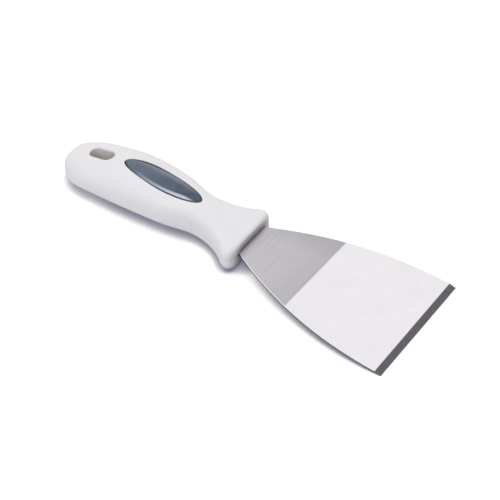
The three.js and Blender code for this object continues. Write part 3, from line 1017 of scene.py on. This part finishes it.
def make_floor():
    """A wide flat floor, just under the knife."""
    bm = bmesh.new()
    verts = []
    for x, y in ((-1, -1), (1, -1), (1, 1), (-1, 1)):
        verts.append(bm.verts.new((x * FLOOR_HALF_SIZE, y * FLOOR_HALF_SIZE, -FLOOR_DEPTH)))
    bm.faces.new(verts)
    mesh = bpy.data.meshes.new("floor")
    bm.to_mesh(mesh)
    bm.free()
    mesh.materials.append(floor_material())
    floor = bpy.data.objects.new("floor", mesh)
    bpy.context.scene.collection.objects.link(floor)


WORLD_BRIGHT = 1.04
WORLD_COLOUR = (0.985, 0.98, 1.02)
WHITE = (1, 1, 1)
# Sides from which less light comes: direction, where the dimming starts and ends, what it leaves
BLADE_SIDE = ((0.88, 0, -0.42), 0, 0.5, 0.05)
BUTT_SIDE = ((-1, 0, -0.3), 0, 0.7, 0.15)


def light_left(tree, place, side):
    """The share of the light that comes from a direction, dimmed towards one side."""
    direction, start, end, share = side
    towards = tree.add("ShaderNodeVectorMath", operation="DOT_PRODUCT")
    tree.fill(towards.inputs[0], place)
    towards.inputs[1].default_value = direction
    return tree.spread(towards.outputs["Value"], start, end, 1, share, fall="SMOOTHSTEP")


def make_world():
    """Soft light from all round, dimmer from two sides, and white where it is seen or reflected."""
    world = bpy.data.worlds.new("studio")
    bpy.context.scene.world = world
    world.use_nodes = True
    world.node_tree.nodes.clear()
    tree = Tree(world.node_tree)
    place = tree.add("ShaderNodeTexCoord").outputs["Generated"]
    left = tree.times(light_left(tree, place, BLADE_SIDE), light_left(tree, place, BUTT_SIDE))
    light = tree.add("ShaderNodeBackground")
    tree.fill(light.inputs["Color"], WORLD_COLOUR)
    tree.fill(light.inputs["Strength"], tree.times(left, WORLD_BRIGHT))
    white = tree.add("ShaderNodeBackground")
    tree.fill(white.inputs["Color"], WHITE)
    bounces = tree.add("ShaderNodeLightPath").outputs["Diffuse Depth"]
    mixed = tree.add("ShaderNodeMixShader")
    tree.fill(mixed.inputs[0], tree.math("SUBTRACT", tree.seen(), bounces, clamp=True))
    tree.fill(mixed.inputs[1], light.outputs[0])
    tree.fill(mixed.inputs[2], white.outputs[0])
    tree.fill(tree.add("ShaderNodeOutputWorld").inputs[0], mixed.outputs[0])


LAMP_SIZE = 1.6
LAMP_DISTANCE = 2.5
LAMP_SIDE = (0, -0.24, 0.97)
LAMP_WATTS = 20
LAMP_COLOUR = (1, 0.985, 0.95)


def make_lamp():
    """A square softbox over the knife, a little to its near side, which the steel doesn't mirror."""
    lamp = bpy.data.lights.new("key_softbox", "AREA")
    lamp.size = LAMP_SIZE
    lamp.energy = LAMP_WATTS
    lamp.color = LAMP_COLOUR
    holder = bpy.data.objects.new("key_softbox", lamp)
    bpy.context.scene.collection.objects.link(holder)
    back = Vector(LAMP_SIDE).normalized()
    holder.location = back * LAMP_DISTANCE
    holder.rotation_mode = "QUATERNION"
    holder.rotation_quaternion = back.to_track_quat("Z", "Y")
    holder.visible_glossy = False


def make_camera():
    """The photograph's camera: along the handle's near side, from above."""
    right = Vector((math.cos(CAMERA_TURN), math.sin(CAMERA_TURN), 0))
    ahead = Vector((-math.sin(CAMERA_TURN), math.cos(CAMERA_TURN), 0))
    up = Vector((0, 0, 1))
    look = ahead * math.cos(CAMERA_ELEVATION) - up * math.sin(CAMERA_ELEVATION)
    rise = ahead * math.sin(CAMERA_ELEVATION) + up * math.cos(CAMERA_ELEVATION)
    rolled_right = right * math.cos(CAMERA_ROLL) + rise * math.sin(CAMERA_ROLL)
    rolled_up = rise * math.cos(CAMERA_ROLL) - right * math.sin(CAMERA_ROLL)
    half_pixel = 0.5 / PIXELS_PER_MM
    aim = Vector((AIM_ALONG + SHIFT, AIM_ACROSS, 0)) + (rolled_up - rolled_right) * half_pixel
    data = bpy.data.cameras.new("camera")
    data.sensor_width = SENSOR_WIDTH
    data.lens = SENSOR_WIDTH * FOCAL_LENGTH_PIXELS / IMAGE_WIDTH_PIXELS
    camera = bpy.data.objects.new("camera", data)
    bpy.context.scene.collection.objects.link(camera)
    distance = FOCAL_LENGTH_PIXELS / PIXELS_PER_MM
    basis = camera.matrix_world.copy()
    for row in range(3):
        basis[row][0] = rolled_right[row]
        basis[row][1] = rolled_up[row]
        basis[row][2] = -look[row]
        basis[row][3] = (aim[row] - distance * look[row]) * MM
    camera.matrix_world = basis
    bpy.context.scene.camera = camera


make_handle()
make_blade()
make_badge()
dress_hidden_nodes()
make_floor()
make_world()
make_lamp()
make_camera()
bpy.context.scene.view_settings.view_transform = "Standard"
